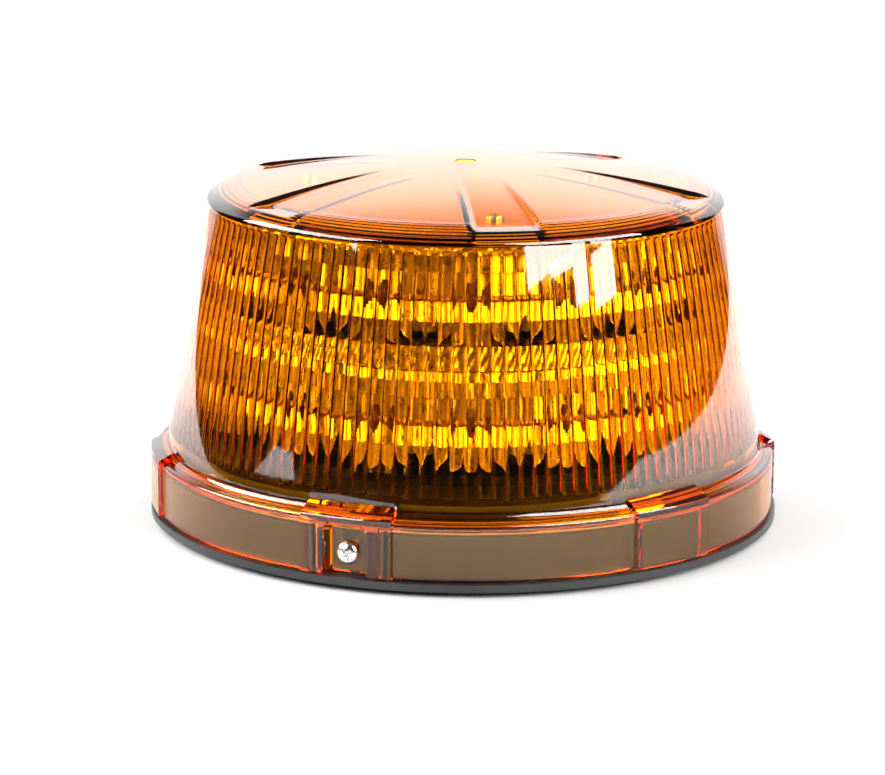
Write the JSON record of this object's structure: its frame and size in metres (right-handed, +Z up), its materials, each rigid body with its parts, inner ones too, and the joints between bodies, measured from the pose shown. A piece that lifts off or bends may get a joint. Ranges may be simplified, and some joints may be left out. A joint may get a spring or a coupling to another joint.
{
  "type": "warning beacon",
  "caption": "Low round amber LED warning beacon: fluted lens cover on a black base with radial fixing screws, over tiers of reflector optics.",
  "frame": {"origin": "centre of the underside of the mounting gasket, on the mounting surface", "axes": "+Z up along the beacon's axis, -Y out through the lens screw in the front tab"},
  "size_m": [0.16, 0.16, 0.0906],
  "materials": {
    "amber_lens": "transparent amber polycarbonate, gloss outside, fluted inside",
    "black_base": "black moulded polycarbonate, fine satin texture",
    "gasket_rubber": "dark grey-green closed-cell rubber",
    "seal_rubber": "black rubber",
    "seal_silicone": "pale silicone",
    "screw_steel": "bright zinc-plated steel",
    "bush_steel": "turned steel",
    "insert_brass": "knurled brass",
    "tower_aluminium": "black anodised aluminium",
    "reflector_metal": "vacuum-metallised plastic",
    "board_white": "white solder mask on aluminium board",
    "board_green": "green solder mask on glass-epoxy board",
    "led_package": "phosphor and clear silicone dome",
    "capacitor_can": "aluminium can with dark sleeve",
    "ferrite": "ferrite with copper winding",
    "chip_epoxy": "black epoxy",
    "header_nylon": "natural nylon",
    "vent_membrane": "moulded vent body",
    "carrier_black": "black moulded plastic",
    "plate_white": "satin white plastic"
  },
  "bodies": {
    "base": {"mounting_gasket": "gasket_rubber", "base": "black_base", "mount_bushes": "bush_steel", "cable_grommet": "seal_rubber", "breather_vent": "vent_membrane", "driver_board": "board_green", "capacitors": "capacitor_can", "inductor": "ferrite", "power_transistors": "chip_epoxy", "controller_chips": "chip_epoxy", "power_header": "header_nylon", "link_header": "chip_epoxy", "board_screws": "screw_steel", "carrier_plate": "carrier_black", "heat_sink_tower": "tower_aluminium", "tower_screws": "screw_steel", "led_board_lower": "board_white", "led_board_upper": "board_white", "leds_lower": "led_package", "leds_upper": "led_package", "reflector_lower": "reflector_metal", "reflector_upper": "reflector_metal", "tier_divider": "reflector_metal", "top_plate": "plate_white", "top_plate_screws": "screw_steel"},
    "lens_cover": {"lens": "amber_lens", "lens_seal": "seal_silicone", "lens_inserts": "insert_brass"},
    "screw_1": {"lens_screw_1": "screw_steel"},
    "screw_2": {"lens_screw_2": "screw_steel"},
    "screw_3": {"lens_screw_3": "screw_steel"}
  },
  "joints": [
    {"name": "lens_lift", "type": "slide", "parent": "base", "child": "lens_cover", "axis": [0, 0, 1], "range_m": [0, 0.09]},
    {"name": "lens_screw_1_out", "type": "slide", "parent": "lens_cover", "child": "screw_1", "axis": [0, -1, 0], "range_m": [0, 0.006]},
    {"name": "lens_screw_2_out", "type": "slide", "parent": "lens_cover", "child": "screw_2", "axis": [0.866, 0.5, 0], "range_m": [0, 0.006]},
    {"name": "lens_screw_3_out", "type": "slide", "parent": "lens_cover", "child": "screw_3", "axis": [-0.866, 0.5, 0], "range_m": [0, 0.006]}
  ]
}
